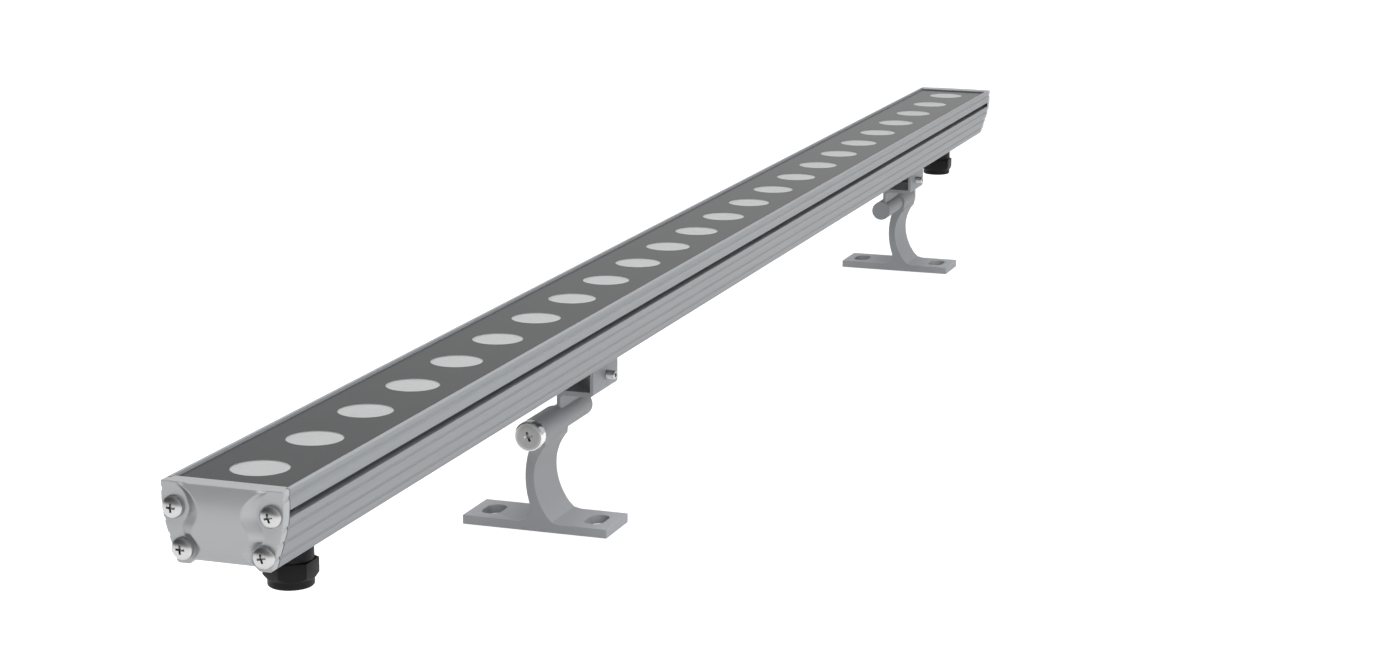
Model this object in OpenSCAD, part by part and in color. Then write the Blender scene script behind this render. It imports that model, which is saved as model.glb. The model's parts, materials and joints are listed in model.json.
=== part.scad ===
// Linear outdoor wall washer light on two adjustable feet.
// X runs along the lamp, Y across it, and Z points up from the surface that the feet rest on.
// The origin is on that surface, below the middle of the lamp, halfway between the foot ends.
// All lengths are in millimetres.

/* [Lamp body] */
// Length of the lamp over the flat ears of its end caps
lamp_len = 1000; // [600:10:1500]
// Width of the lamp at its top
lamp_w = 45.3; // [44.8:0.1:48]
// Height of the lamp from its bottom rails to its top edge
lamp_h = 28.1; // [27.8:0.1:31]
// How far each side runs in from the top edge to the bottom rails
side_in = 5.3; // [4:0.1:5.5]
// Height of the upright band at the top of each side
side_flat = 5; // [3:0.5:8]
// Radius that blends the upright band into the sloping side
side_r = 40; // [34:1:60]
// Thickness of the rim on each side of the glass
rim_t = 1.5; // [1.2:0.1:1.6]
// Radius of the shallow decorative grooves in the sides
groove_r = 1.1; // [0.8:0.1:1.4]
// Depth of the decorative grooves
groove_d = 0.35; // [0.2:0.05:0.5]
// Distance from the top edge to the uppermost groove
groove_top = 3; // [2:0.1:4]
// Distance from the top edge to the first of the three lower grooves
groove_low = 13.5; // [12.5:0.1:14.5]
// Distance between the lower grooves
groove_pitch = 5.3; // [4.5:0.1:5.5]

/* [Bottom channel] */
// Height of the two bottom rails
rail_h = 1.65; // [1.4:0.05:2]
// Width of the shallow recess between the bottom rails, at its top
recess_w = 22.3; // [22:0.1:23]
// Width of each sloping flank of that recess
recess_flank = 1.65; // [1:0.05:2]
// Width of the channel mouth that the clamps pass through
mouth_w = 17.9; // [17.6:0.1:18.5]
// Thickness of the lips that the clamps hook behind
lip_t = 1.55; // [1.3:0.05:1.8]
// Height of the undercut groove above the lips
undercut_h = 2.6; // [2.4:0.1:2.9]
// Depth of the undercut groove behind each lip
undercut_d = 1.9; // [1.6:0.05:2.1]
// Thickness of the floor above the channel
floor_t = 1.5; // [1.2:0.1:1.7]

/* [Rooms inside the body] */
// Distance from the outside of the bottom rails in to the driver room at its floor
driver_floor_in = 4.75; // [4.3:0.05:5.5]
// Distance from the top edge's outside in to the driver room at its widest
driver_room_in = 4.25; // [4.1:0.05:5]
// Height of the driver room
driver_room_h = 6.1; // [5.9:0.1:6.5]
// Thickness of the shelf that carries the LED boards
shelf_t = 1.6; // [1.4:0.1:2]
// Distance from the top edge's outside in to the room for the LED boards and lenses
led_room_in = 8.25; // [8:0.05:9]

/* [Cover glass] */
// Thickness of the cover glass
glass_t = 3; // [2.5:0.1:3.4]
// Depth of the glass face below the top edge
glass_drop = 1; // [0.7:0.05:1.3]
// Gap between the glass and the rim on each side
glass_gap = 0.4; // [0.2:0.05:0.6]
// Thickness of the seal and of the mask plate under the glass
seal_t = 0.8; // [0.6:0.05:1]
// Width of the seal under each edge of the glass
seal_w = 2.8; // [2:0.1:3.2]

/* [Light units] */
// Number of light units along the lamp
led_count = 24; // [12:2:36]
// Distance from the end of the lamp to the centre of its first light unit
led_end = 27.05; // [26:0.05:30]
// Gap between the lenses and the sides of their room
lens_side_gap = 3; // [2.2:0.1:3.5]
// How far the mask plate laps over the rim of each lens
window_lap = 1.1; // [1:0.05:2]
// Gap between the lens faces and the mask plate
lens_gap = 0.3; // [0.2:0.05:0.6]
// Side of the square LED chips
chip_w = 3.5; // [3:0.1:5]
// Height of the LED chips
chip_h = 1.9; // [1.5:0.1:2.2]
// Thickness of the LED boards and of the driver board
board_t = 1.6; // [1.2:0.1:1.6]
// Gap between the LED boards and the sides of their room
board_side_gap = 1.9; // [1.2:0.1:3]

/* [End caps] */
// Thickness of the end cap plate
cap_t = 4; // [3:0.1:5]
// Length of the cap's tongue over the end of the glass
tongue_len = 2.2; // [1.5:0.1:3]
// Thickness of the gasket behind each end cap
gasket_t = 0.5; // [0.4:0.05:0.8]
// Height of the crowned middle above the ears
crown_h = 2.7; // [1.6:0.1:2.8]
// Radius of the crowned middle's curve
crown_r = 41; // [38:1:60]
// Height of the crown's highest line above the bottom rails
crown_v = 16; // [14:0.5:17]
// Distance from the top edge's outside in to the foot of the crowned middle
crown_in = 8.05; // [7.5:0.05:9]
// Sideways run of the crown's flanks for each millimetre of their height
flank_share = 1.75; // [1.4:0.05:2]
// Distance from the top edge's outside in to the upper screws
screw_up_in = 4.75; // [4.6:0.05:4.95]
// Distance from the top edge down to the upper screws
screw_up_drop = 8.7; // [8.4:0.05:9]
// Distance from the outside of the bottom rails in to the lower screws
screw_low_in = 2.4; // [2.3:0.05:2.7]
// Height of the lower screws above the bottom rails
screw_low_v = 5.3; // [5.1:0.05:5.5]
// Distance from the top edge's outside in to the centre of the upper ears
ear_up_in = 1.35; // [0.5:0.05:1.6]
// Radius of the flat of the upper ears
ear_up_r = 9; // [8.5:0.1:9.2]
// Radius of the flat of the lower ears
ear_low_r = 4.6; // [4.4:0.1:5]

/* [Cap screws] */
// Diameter of the cap screw heads
screw_head_d = 7.8; // [7.2:0.1:8]
// Height of the cap screw heads
screw_head_h = 2.7; // [2.2:0.1:3]
// Core diameter of the cap screws
screw_core_d = 3.4; // [3:0.05:3.5]
// Length of the cap screws under the head
screw_len = 16; // [12:1:25]
// Clearance of a screw or pin in its hole, on the radius
fit = 0.05; // [0.03:0.01:0.1]

/* [Cable glands] */
// Distance from the end of the lamp to the gland axis
gland_end = 47.2; // [40:0.2:60]
// Gap between the gland's collar and each side of the channel mouth
gland_gap = 0.7; // [0.5:0.05:1]
// How far each flat of the gland nut lies outside the collar
gland_flat_out = 0.3; // [0.2:0.05:0.7]
// Height of the gland below the bottom rails
gland_drop = 20; // [18:0.1:24]
// Height of the gland nut's hexagon
gland_hex_h = 6.8; // [5.5:0.1:7]
// Length of the round nose below the hexagon
gland_nose_h = 2.7; // [2:0.1:3]
// Thread diameter of the gland
gland_thread_d = 12; // [11:0.1:12.5]
// Bore for the cable in the gland's seal
cable_d = 6; // [5:0.1:6.5]

/* [Clamps] */
// Length of a clamp along the lamp
clamp_len = 30; // [26:0.5:36]
// Gap between each leg of a clamp and the channel mouth
clamp_gap = 0.4; // [0.3:0.05:0.6]
// Wall thickness of the clamp
clamp_wall = 1.6; // [1.4:0.1:2]
// Thickness of the clamp's web
web_t = 2.1; // [1.8:0.1:2.5]
// Distance from the bottom rails down to the upper face of the web
web_drop = 14.8; // [13:0.1:16]
// Reach of the hook at the top of each leg
hook_reach = 1.9; // [1.5:0.05:2]
// Thickness of the hooks
hook_t = 2.1; // [1.8:0.1:2.2]
// Gap between the hooks and the lips
slide_gap = 0.15; // [0.1:0.05:0.2]
// Diameter of the screw that spreads the clamp's legs
lock_d = 4; // [3:0.5:4]
// Distance from the clamp's joint face to that screw
lock_x = 17; // [12:0.5:20]
// Distance from the bottom rails down to that screw
lock_drop = 10.2; // [9:0.1:11]
// Length of that screw outside the clamp
lock_out = 4; // [3:0.1:6]

/* [Tilting pivots] */
// Distance across the lamp from the outside of the clamp's leg to the pivot axis
pivot_side = 0.85; // [0:0.05:2]
// Distance from the bottom rails down to the pivot axis
pivot_drop = 28.2; // [27:0.1:32]
// Height of the pivot axis above the surface
pivot_z = 43; // [42:0.1:48]
// Radius of the foot's knuckle
knuckle_r = 6.5; // [6:0.1:7]
// Radius of the clamp's knuckle
clamp_knuckle_r = 5.5; // [5.2:0.1:6]
// Length of the clamp's knuckle beyond its legs
knuckle_out = 1.5; // [0.5:0.1:3]
// Diameter of the pivot screw
pivot_d = 5; // [4:0.1:5]
// Diameter of the pivot screw's head
head_d = 13.2; // [12:0.1:14]
// Thickness of the pivot screw's head
head_t = 4.2; // [3.5:0.1:5]
// Thickness of the knuckle's closed end beyond the pivot screw's tip
knuckle_end_t = 3; // [2:0.1:5]
// Gap between the tilting foot and the faces beside it
side_gap = 0.1; // [0.05:0.05:0.2]

/* [Feet] */
// Width of a foot along the lamp
foot_w = 26.5; // [24:0.5:32]
// Length of a foot across the lamp
foot_len = 66.6; // [66:0.2:80]
// Thickness of the foot plate
foot_t = 4; // [3.5:0.1:4.6]
// Distance from the middle of the foot plate to the pivot axis
foot_off = 0.5; // [0:0.1:1]
// Distance from each end of the foot to the middle of its bolt slot
slot_end = 9.4; // [8:0.1:11]
// Width of the bolt slots
slot_w = 8.8; // [6:0.1:9]
// Length of the bolt slots, along the lamp
slot_len = 14.6; // [12:0.1:16]

/* [Places along the lamp] */
// Distance from the lamp's end to the joint face of the first bracket
near_from_end = 317.5; // [160:0.5:330]
// Distance from the lamp's other end to the joint face of the second bracket
far_from_end = 115; // [114:0.5:250]

/* [Hidden] */
$fn = 64;

// One overrun for all cuts, and small edge breaks
over = 1;
edge_c = 0.5;
top_c = 0.3;
arc_steps = 8;

// Widths in the lamp
base_w = lamp_w - 2 * side_in;
driver_floor_w = base_w - 2 * driver_floor_in;
driver_room_w = lamp_w - 2 * driver_room_in;
led_room_w = lamp_w - 2 * led_room_in;
lens_d = led_room_w - 2 * lens_side_gap;
window_d = lens_d - 2 * window_lap;
board_w = led_room_w - 2 * board_side_gap;
crown_w = lamp_w - 2 * crown_in;
screw_up_y = lamp_w / 2 - screw_up_in;
screw_low_y = base_w / 2 - screw_low_in;
ear_up_y = lamp_w / 2 - ear_up_in;

// Widths that follow the channel mouth
gland_d = mouth_w - 2 * gland_gap;
gland_af = gland_d + 2 * gland_flat_out;
clamp_w = mouth_w - 2 * clamp_gap;
pivot_y = clamp_w / 2 + pivot_side;

// Heights in the lamp, above the bottom rails
lip_top = rail_h + lip_t;
channel_top = lip_top + undercut_h;
room_floor = channel_top + floor_t;
shelf_low = room_floor + driver_room_h;
shelf_top = shelf_low + shelf_t;
board_top = shelf_top + board_t;
glass_top = lamp_h - glass_drop;
glass_low = glass_top - glass_t;
ledge = glass_low - seal_t;
lens_h = ledge - lens_gap - board_top;
screw_up_v = lamp_h - screw_up_drop;

// Lengths along the lamp
half_len = lamp_len / 2;
body_half = half_len - cap_t - gasket_t;
gland_x = half_len - gland_end;
led_first = -half_len + led_end;
led_pitch = (lamp_len - 2 * led_end) / (led_count - 1);
near_x = -half_len + near_from_end;
far_x = half_len - far_from_end;

// Places of the bolt slots
slot_pitch = foot_len - 2 * slot_end;

// Where the lamp stands over the feet
lamp_y = foot_off - pivot_y;
lamp_z = pivot_z + pivot_drop;

// Shape of the sloping side
side_drop = lamp_h - side_flat;
side_a = atan2(side_drop, side_r - side_in)
    - acos(side_r / norm([side_r - side_in, side_drop]));

// Ports for the cap screws
port_r = screw_core_d / 2 + fit;
port_slot_w = screw_core_d - 0.6 * edge_c * 2;
port_depth = screw_len + edge_c;

// Parts of the cross recesses in screw heads, as shares of the head diameter
cross_len_share = 0.52;
cross_w_share = 0.11;
cross_depth_share = 0.17;

// Points of an arc from angle a0 to angle a1
function arc(cx, cy, r, a0, a1, n = arc_steps) =
    [for (i = [0:n]) let (a = a0 + (a1 - a0) * i / n) [cx + r * cos(a), cy + r * sin(a)]];

// The same points on the other side of the middle, in reverse order
function flip(pts) = [for (i = [len(pts) - 1:-1:0]) [-pts[i][0], pts[i][1]]];

// Half width of the lamp at a height above its rails
function side_y(v) =
    v >= side_drop ? lamp_w / 2 :
    v >= side_drop - side_r * sin(side_a) ?
        lamp_w / 2 - side_r + sqrt(pow(side_r, 2) - pow(side_drop - v, 2)) :
        base_w / 2 + v * tan(side_a);

// One side of the lamp's outline, from the bottom rail to the top edge
function side_pts(inset) = concat(
    [[base_w / 2 - edge_c - inset, inset], [base_w / 2 + edge_c * tan(side_a) - inset, edge_c + inset]],
    arc(lamp_w / 2 - inset - side_r, side_drop, side_r, -side_a, 0),
    [[lamp_w / 2 - inset, lamp_h - top_c - inset], [lamp_w / 2 - top_c - inset, lamp_h - inset]]
);

// Extrudes a cross section along the lamp, from x0
module along(x0, length) {
    translate([x0, 0, 0]) rotate([90, 0, 90]) linear_extrude(height = length) children();
}

// A round bar along the lamp, from x0, at height v
module bar_x(x0, length, y, v, r) {
    translate([x0, y, v]) rotate([0, 90, 0]) cylinder(r = r, h = length);
}

// Carries a piece to the lamp's place over the feet
module at_lamp() {
    translate([0, lamp_y, lamp_z]) children();
}

module both_sides() {
    children();
    mirror([0, 1, 0]) children();
}

// Turns a piece of the first end into its twin at the other end
module twin() {
    mirror([1, 0, 0]) children();
}

module outline_2d(inset = 0) {
    polygon(concat(side_pts(inset), flip(side_pts(inset))));
}

// Recess between the bottom rails
module recess_2d() {
    polygon([
        [-recess_w / 2 - recess_flank - over, -over], [recess_w / 2 + recess_flank + over, -over],
        [recess_w / 2 + recess_flank, 0], [recess_w / 2, rail_h],
        [-recess_w / 2, rail_h], [-recess_w / 2 - recess_flank, 0]
    ]);
}

// Shallow grooves in one side, on the lamp body and on its end caps
module side_grooves(x0, length) {
    drops = concat([groove_top], [for (i = [0:2]) groove_low + i * groove_pitch]);
    for (drop = drops) {
        v = lamp_h - drop;
        bar_x(x0, length, side_y(v) + groove_r - groove_d, v, groove_r);
    }
}

// Channel for the clamps, open at the bottom
module channel_cut(x0, length) {
    along(x0, length) recess_2d();
    along(x0, length) translate([-mouth_w / 2, 0]) square([mouth_w, channel_top]);
    along(x0, length) translate([-mouth_w / 2 - undercut_d, lip_top])
        square([mouth_w + 2 * undercut_d, undercut_h]);
}

// Round ports for the upper cap screws, open to the side through a slot
module upper_port(x0, length) {
    bar_x(x0, length, screw_up_y, screw_up_v, port_r);
    along(x0, length) translate([screw_up_y, screw_up_v - port_slot_w / 2])
        square([lamp_w / 2 - screw_up_y + over, port_slot_w]);
}

module driver_room_2d() {
    mid_v = room_floor + driver_room_h * 0.3;
    high_v = room_floor + driver_room_h * 0.85;
    right = [
        [driver_floor_w / 2, room_floor], [driver_room_w / 2 - edge_c * 4, mid_v],
        [driver_room_w / 2, high_v], [driver_room_w / 2 - edge_c * 3, shelf_low]
    ];
    polygon(concat(right, flip(right)));
}

// Places of the board screws along the lamp, between light units
board_screw_x = [for (i = [1, led_count / 2 - 3]) led_first + led_pitch * (i + 0.5)];
board_screw_r = 1.25;
board_screw_y = board_w / 2 - 3 * board_screw_r;

module housing() {
    x0 = -body_half;
    length = 2 * body_half;
    color("silver") at_lamp() difference() {
        along(x0, length) outline_2d();
        channel_cut(x0 - over, length + 2 * over);
        both_sides() side_grooves(x0 - over, length + 2 * over);
        both_sides() upper_port(x0 - over, length + 2 * over);
        both_sides() for (end = [x0 - over, body_half - port_depth])
            bar_x(end, port_depth + over, screw_low_y, screw_low_v, port_r);
        along(x0 - over, length + 2 * over) driver_room_2d();
        along(x0 - over, length + 2 * over) translate([-led_room_w / 2, shelf_top])
            square([led_room_w, lamp_h]);
        along(x0 - over, length + 2 * over) translate([-lamp_w / 2 + rim_t, ledge])
            square([lamp_w - 2 * rim_t, lamp_h]);
        for (x = [-gland_x, gland_x])
            translate([x, 0, channel_top - over]) cylinder(d = gland_thread_d + 4 * fit, h = floor_t + 2 * over);
        board_screw_places() translate([0, 0, shelf_low - over])
            cylinder(r = board_screw_r + fit, h = shelf_t + 2 * over);
        lead_places() translate([0, 0, shelf_low - over]) cylinder(r = lead_hole_r, h = shelf_t + 2 * over);
    }
}

// End cap of the near end, with its ears in the plane x = 0 and its plate behind them
cap_hole_r = screw_core_d / 2 + 8 * fit;
module cap_shape() {
    difference() {
        union() {
            difference() {
                along(0, cap_t) outline_2d();
                along(-over, cap_t + 2 * over) recess_2d();
                both_sides() side_grooves(-over, cap_t + 2 * over);
            }
            crown();
            translate([cap_t - over, -lamp_w / 2 + rim_t + glass_gap / 2, glass_top + fit])
                cube([tongue_len + over, lamp_w - 2 * rim_t - glass_gap, glass_drop - fit]);
        }
        both_sides() {
            bar_x(-crown_h - over, cap_t + crown_h + 2 * over, screw_up_y, screw_up_v, cap_hole_r);
            bar_x(-crown_h - over, cap_t + crown_h + 2 * over, screw_low_y, screw_low_v, cap_hole_r);
        }
    }
}

// Crowned middle of an end cap, with sloping flanks round the ears
module crown() {
    reach = crown_h + edge_c;
    run = reach * flank_share;
    difference() {
        intersection() {
            translate([crown_r - crown_h, 0, crown_v]) rotate([90, 0, 0])
                cylinder(r = crown_r, h = lamp_w, center = true, $fn = 128);
            translate([0, 0, rail_h]) linear_extrude(height = lamp_h - rail_h) polygon([
                [edge_c, -crown_w / 2], [edge_c, crown_w / 2], [0, crown_w / 2],
                [-reach, crown_w / 2 - run], [-reach, -crown_w / 2 + run], [0, -crown_w / 2]
            ]);
        }
        both_sides() {
            ear_cut(ear_up_y, lamp_h - screw_up_drop, ear_up_r, reach, run);
            ear_cut(screw_low_y, screw_low_v, ear_low_r, reach, run);
        }
    }
}

// Cone that clears the flat of an ear
module ear_cut(y, v, r, reach, run) {
    translate([0, y, v]) rotate([0, -90, 0]) cylinder(r1 = r, r2 = r + run, h = reach);
}

module end_cap_near() {
    color("silver") at_lamp() translate([-half_len, 0, 0]) cap_shape();
}

module end_cap_far() {
    color("silver") at_lamp() twin() translate([-half_len, 0, 0]) cap_shape();
}

module gasket_shape() {
    inset = edge_c;
    difference() {
        intersection() {
            along(-half_len + cap_t, gasket_t) outline_2d(inset);
            along(-half_len + cap_t, gasket_t) translate([-lamp_w / 2, rail_h + inset])
                square([lamp_w, glass_top - rail_h - inset]);
        }
        both_sides() {
            bar_x(-half_len, cap_t + 2 * over, screw_up_y, screw_up_v, screw_core_d / 2 + 4 * fit);
            bar_x(-half_len, cap_t + 2 * over, screw_low_y, screw_low_v, screw_core_d / 2 + 4 * fit);
        }
    }
}

module cap_gasket_near() {
    color("dimgray") at_lamp() gasket_shape();
}

module cap_gasket_far() {
    color("dimgray") at_lamp() twin() gasket_shape();
}

// Cross recess, cut down from height h into a head of diameter d
module cross_cut(d, h) {
    depth = d * cross_depth_share;
    for (turn = [0, 90]) rotate([0, 0, turn])
        translate([-d * cross_len_share / 2, -d * cross_w_share / 2, h - depth])
            cube([d * cross_len_share, d * cross_w_share, depth + over]);
}

// Domed screw head on z = 0
module dome_head(d, h, rim_share) {
    rise = h * (1 - rim_share);
    dome_r = (pow(d / 2, 2) + pow(rise, 2)) / (2 * rise);
    difference() {
        intersection() {
            cylinder(d = d, h = h);
            translate([0, 0, h - dome_r]) sphere(r = dome_r, $fn = 96);
        }
        cross_cut(d, h);
    }
}

// Cap screws of the near end, with their heads towards -X
module cap_screw_set() {
    both_sides() for (place = [[screw_up_y, screw_up_v], [screw_low_y, screw_low_v]])
        translate([-half_len, place[0], place[1]]) {
            rotate([0, -90, 0]) dome_head(screw_head_d, screw_head_h, 0.3);
            rotate([0, 90, 0]) cylinder(d = screw_core_d, h = screw_len);
        }
}

module cap_screws_near() {
    color("gainsboro") at_lamp() cap_screw_set();
}

module cap_screws_far() {
    color("gainsboro") at_lamp() twin() cap_screw_set();
}

module cover_glass() {
    w = lamp_w - 2 * rim_t - 2 * glass_gap;
    color("dimgray", 0.5) at_lamp() translate([-body_half, -w / 2, glass_low]) cube([2 * body_half, w, glass_t]);
}

// The seal lies under both long edges and both ends of the glass, round the mask plate
module glass_seal() {
    w = lamp_w - 2 * rim_t - 2 * glass_gap;
    color("black") at_lamp() difference() {
        translate([-body_half, -w / 2, ledge]) cube([2 * body_half, w, seal_t]);
        translate([-body_half + seal_w, -w / 2 + seal_w, ledge - over])
            cube([2 * (body_half - seal_w), w - 2 * seal_w, seal_t + 2 * over]);
    }
}

module led_places(first, last) {
    for (i = [first:last]) translate([led_first + i * led_pitch, 0, 0]) children();
}

module mask_plate() {
    w = lamp_w - 2 * rim_t - 2 * glass_gap - 2 * seal_w - 2 * fit;
    x = body_half - seal_w - fit;
    color("#3a3d42") at_lamp() difference() {
        translate([-x, -w / 2, ledge]) cube([2 * x, w, seal_t]);
        led_places(0, led_count - 1) translate([0, 0, ledge - over]) cylinder(d = window_d, h = seal_t + 2 * over);
    }
}

// Lens with a hollow over its LED chip
module lens_shape() {
    pocket_r = chip_w * 0.75 + edge_c;
    pocket_h = chip_h + edge_c;
    foot_r = lens_d * 0.27;
    translate([0, 0, board_top]) rotate_extrude() polygon([
        [0, pocket_h + edge_c * 2], [pocket_r, pocket_h], [pocket_r, 0], [foot_r, 0],
        [foot_r, lens_h * 0.14], [lens_d * 0.42, lens_h * 0.62], [lens_d / 2, lens_h * 0.78],
        [lens_d / 2, lens_h - top_c], [lens_d / 2 - top_c, lens_h], [0, lens_h]
    ]);
}

module lenses_near() {
    color("white") at_lamp() led_places(0, led_count / 2 - 1) lens_shape();
}

module lenses_far() {
    color("white") at_lamp() led_places(led_count / 2, led_count - 1) lens_shape();
}

module chip_shape() {
    base_h = chip_h * 0.45;
    translate([-chip_w / 2, -chip_w / 2, board_top]) cube([chip_w, chip_w, base_h]);
    translate([0, 0, board_top + base_h]) intersection() {
        cylinder(d = chip_w * 0.8, h = chip_h - base_h);
        translate([0, 0, chip_h - base_h - chip_w * 0.55]) sphere(r = chip_w * 0.55);
    }
}

module led_chips_near() {
    color("khaki") at_lamp() led_places(0, led_count / 2 - 1) chip_shape();
}

module led_chips_far() {
    color("khaki") at_lamp() led_places(led_count / 2, led_count - 1) chip_shape();
}

// LED board of the near half, with holes for its screws and lead pins
board_end_gap = 1;
link_gap = 0.6;
module led_board_shape() {
    difference() {
        translate([-body_half + board_end_gap, -board_w / 2, shelf_top])
            cube([body_half - board_end_gap - link_gap / 2, board_w, board_t]);
        board_screw_places() translate([0, 0, shelf_top - over])
            cylinder(r = board_screw_r + 4 * fit, h = board_t + 2 * over);
        lead_places() translate([0, 0, shelf_top - over]) cylinder(r = lead_r + fit, h = board_t + 2 * over);
    }
}

module led_board_near() {
    color("white") at_lamp() led_board_shape();
}

module led_board_far() {
    color("white") at_lamp() twin() led_board_shape();
}

module board_screw_places() {
    for (x = board_screw_x) for (way = [-1, 1]) for (side = [-1, 1])
        translate([way * x, side * board_screw_y, 0]) children();
}

module board_screws() {
    head_h = 1.6 * board_screw_r;
    color("gainsboro") at_lamp() board_screw_places() {
        translate([0, 0, board_top]) dome_head(4.4 * board_screw_r, head_h, 0.3);
        translate([0, 0, shelf_low - edge_c]) cylinder(r = board_screw_r, h = board_top - shelf_low + edge_c);
    }
}

// Two bridges that join the LED boards end to end
link_w = 2;
link_len = 8;
link_t = 0.8;
module board_link() {
    color("goldenrod") at_lamp() for (side = [-1, 1])
        translate([-link_len / 2, side * board_w / 4 - link_w / 2, board_top]) cube([link_len, link_w, link_t]);
}

// Driver on the floor of its room
sheet_t = 0.3;
driver_len = 150;
driver_gap = 1.6;
driver_w = driver_floor_w - 2 * driver_gap;

// Lead pins from the driver board up through the shelf to the LED boards
lead_r = 0.6;
lead_hole_r = 1.6;
lead_x = min(led_pitch, driver_len * 0.45);
lead_y = driver_w / 2 - 2 * lead_r;
lead_collar_t = 0.6;
module lead_places() {
    for (way = [-1, 1]) for (side = [-1, 1]) translate([way * lead_x, side * lead_y, 0]) children();
}

module lead_pins() {
    low = room_floor + sheet_t + board_t;
    color("goldenrod") at_lamp() lead_places() {
        translate([0, 0, low]) cylinder(r = lead_r, h = board_top + lead_collar_t - low);
        translate([0, 0, board_top]) cylinder(r = lead_hole_r - fit, h = lead_collar_t);
    }
}

module insulation_sheet() {
    color("khaki") at_lamp() translate([-driver_len / 2 - sheet_t * 10, -driver_w / 2 - edge_c, room_floor])
        cube([driver_len + sheet_t * 20, driver_w + 2 * edge_c, sheet_t]);
}

module driver_board() {
    color("darkgreen") at_lamp() translate([-driver_len / 2, -driver_w / 2, room_floor + sheet_t])
        cube([driver_len, driver_w, board_t]);
}

// Free height over the driver board
driver_free = driver_room_h - sheet_t - board_t;
driver_part_h = driver_free * 0.85;
driver_face = room_floor + sheet_t + board_t;
module driver_chip() {
    w = driver_w * 0.42;
    color("#222222") at_lamp() translate([-w, -w / 2, driver_face]) cube([2 * w, w, driver_part_h * 0.5]);
}

module driver_coils() {
    r = driver_w * 0.24;
    color("saddlebrown") at_lamp() for (way = [-1, 1]) translate([way * driver_len * 0.4, -r * 0.6, driver_face])
        difference() {
            cylinder(r = r, h = driver_part_h);
            translate([0, 0, driver_part_h * 0.6]) cylinder(r = r * 0.4, h = driver_part_h);
        }
}

module driver_capacitors() {
    r = driver_w * 0.14;
    color("steelblue") at_lamp() for (way = [-1, 1]) for (k = [0, 1])
        translate([way * driver_len * (0.15 + 0.08 * k), r * 1.8, driver_face]) cylinder(r = r, h = driver_part_h);
}

// Heights of the gland, in the lamp's own height
gland_low = -gland_drop;
gland_hex_low = gland_low + gland_nose_h;
gland_hex_top = gland_hex_low + gland_hex_h;
oring_t = 1;
gland_seat = channel_top - oring_t;
gland_thread_r = gland_thread_d / 2;
gland_wall = 1.6;
gland_spigot_r = gland_d / 2 - gland_wall;
gland_spigot_low = gland_hex_low + gland_wall;
gland_bore_r = cable_d / 2 + gland_wall / 2;
gland_seal_r = gland_spigot_r - gland_wall;
gland_seal_h = gland_hex_h - gland_wall;
locknut_h = 3;

module gland_places(way) {
    translate([way * gland_x, 0, 0]) children();
}

module gland_body_shape() {
    top = room_floor + locknut_h + edge_c;
    difference() {
        union() {
            translate([0, 0, gland_hex_top]) cylinder(d = gland_d, h = gland_seat - gland_hex_top);
            translate([0, 0, gland_seat - over]) cylinder(r = gland_thread_r, h = top - gland_seat + over);
            translate([0, 0, gland_spigot_low]) cylinder(r = gland_spigot_r, h = gland_hex_top - gland_spigot_low + over);
        }
        translate([0, 0, gland_spigot_low - over]) cylinder(r = gland_bore_r, h = top - gland_spigot_low + 2 * over);
        translate([0, 0, gland_spigot_low - over]) cylinder(r = gland_seal_r + fit, h = gland_seal_h + over);
    }
}

module gland_body_near() {
    color("#222325") at_lamp() gland_places(-1) gland_body_shape();
}

module gland_body_far() {
    color("#222325") at_lamp() gland_places(1) gland_body_shape();
}

// Hexagon whose lower corners are chamfered by a cone
module gland_nut_shape() {
    corner_r = gland_af / 2 / cos(30);
    difference() {
        union() {
            intersection() {
                translate([0, 0, gland_hex_low]) cylinder(r = corner_r, h = gland_hex_h, $fn = 6);
                translate([0, 0, gland_hex_low]) union() {
                    cylinder(r1 = gland_d / 2, r2 = corner_r, h = corner_r - gland_d / 2);
                    translate([0, 0, corner_r - gland_d / 2])
                        cylinder(r = corner_r, h = gland_hex_h - corner_r + gland_d / 2);
                }
            }
            translate([0, 0, gland_low]) cylinder(r1 = gland_d / 2 - edge_c, r2 = gland_d / 2, h = edge_c);
            translate([0, 0, gland_low + edge_c]) cylinder(d = gland_d, h = gland_nose_h);
        }
        translate([0, 0, gland_spigot_low - fit]) cylinder(r = gland_spigot_r + fit, h = gland_hex_h + over);
        translate([0, 0, gland_low - over]) cylinder(r = gland_bore_r, h = gland_drop);
    }
}

module gland_nut_near() {
    color("#2a2b2d") at_lamp() gland_places(-1) gland_nut_shape();
}

module gland_nut_far() {
    color("#2a2b2d") at_lamp() gland_places(1) gland_nut_shape();
}

module gland_seal_shape() {
    difference() {
        translate([0, 0, gland_spigot_low]) cylinder(r = gland_seal_r, h = gland_seal_h - fit);
        translate([0, 0, gland_spigot_low - over]) cylinder(d = cable_d, h = gland_seal_h + 2 * over);
    }
}

module gland_seal_near() {
    color("black") at_lamp() gland_places(-1) gland_seal_shape();
}

module gland_seal_far() {
    color("black") at_lamp() gland_places(1) gland_seal_shape();
}

module gland_oring_shape() {
    translate([0, 0, gland_seat]) difference() {
        cylinder(r = gland_d / 2 - edge_c / 2, h = oring_t);
        translate([0, 0, -over]) cylinder(r = gland_thread_r + fit, h = oring_t + 2 * over);
    }
}

module gland_oring_near() {
    color("black") at_lamp() gland_places(-1) gland_oring_shape();
}

module gland_oring_far() {
    color("black") at_lamp() gland_places(1) gland_oring_shape();
}

module gland_locknut_shape() {
    translate([0, 0, room_floor]) difference() {
        cylinder(r = gland_thread_r * 1.45, h = locknut_h, $fn = 6);
        translate([0, 0, -over]) cylinder(r = gland_thread_r + fit, h = locknut_h + 2 * over);
    }
}

module gland_locknut_near() {
    color("#222325") at_lamp() gland_places(-1) gland_locknut_shape();
}

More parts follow.
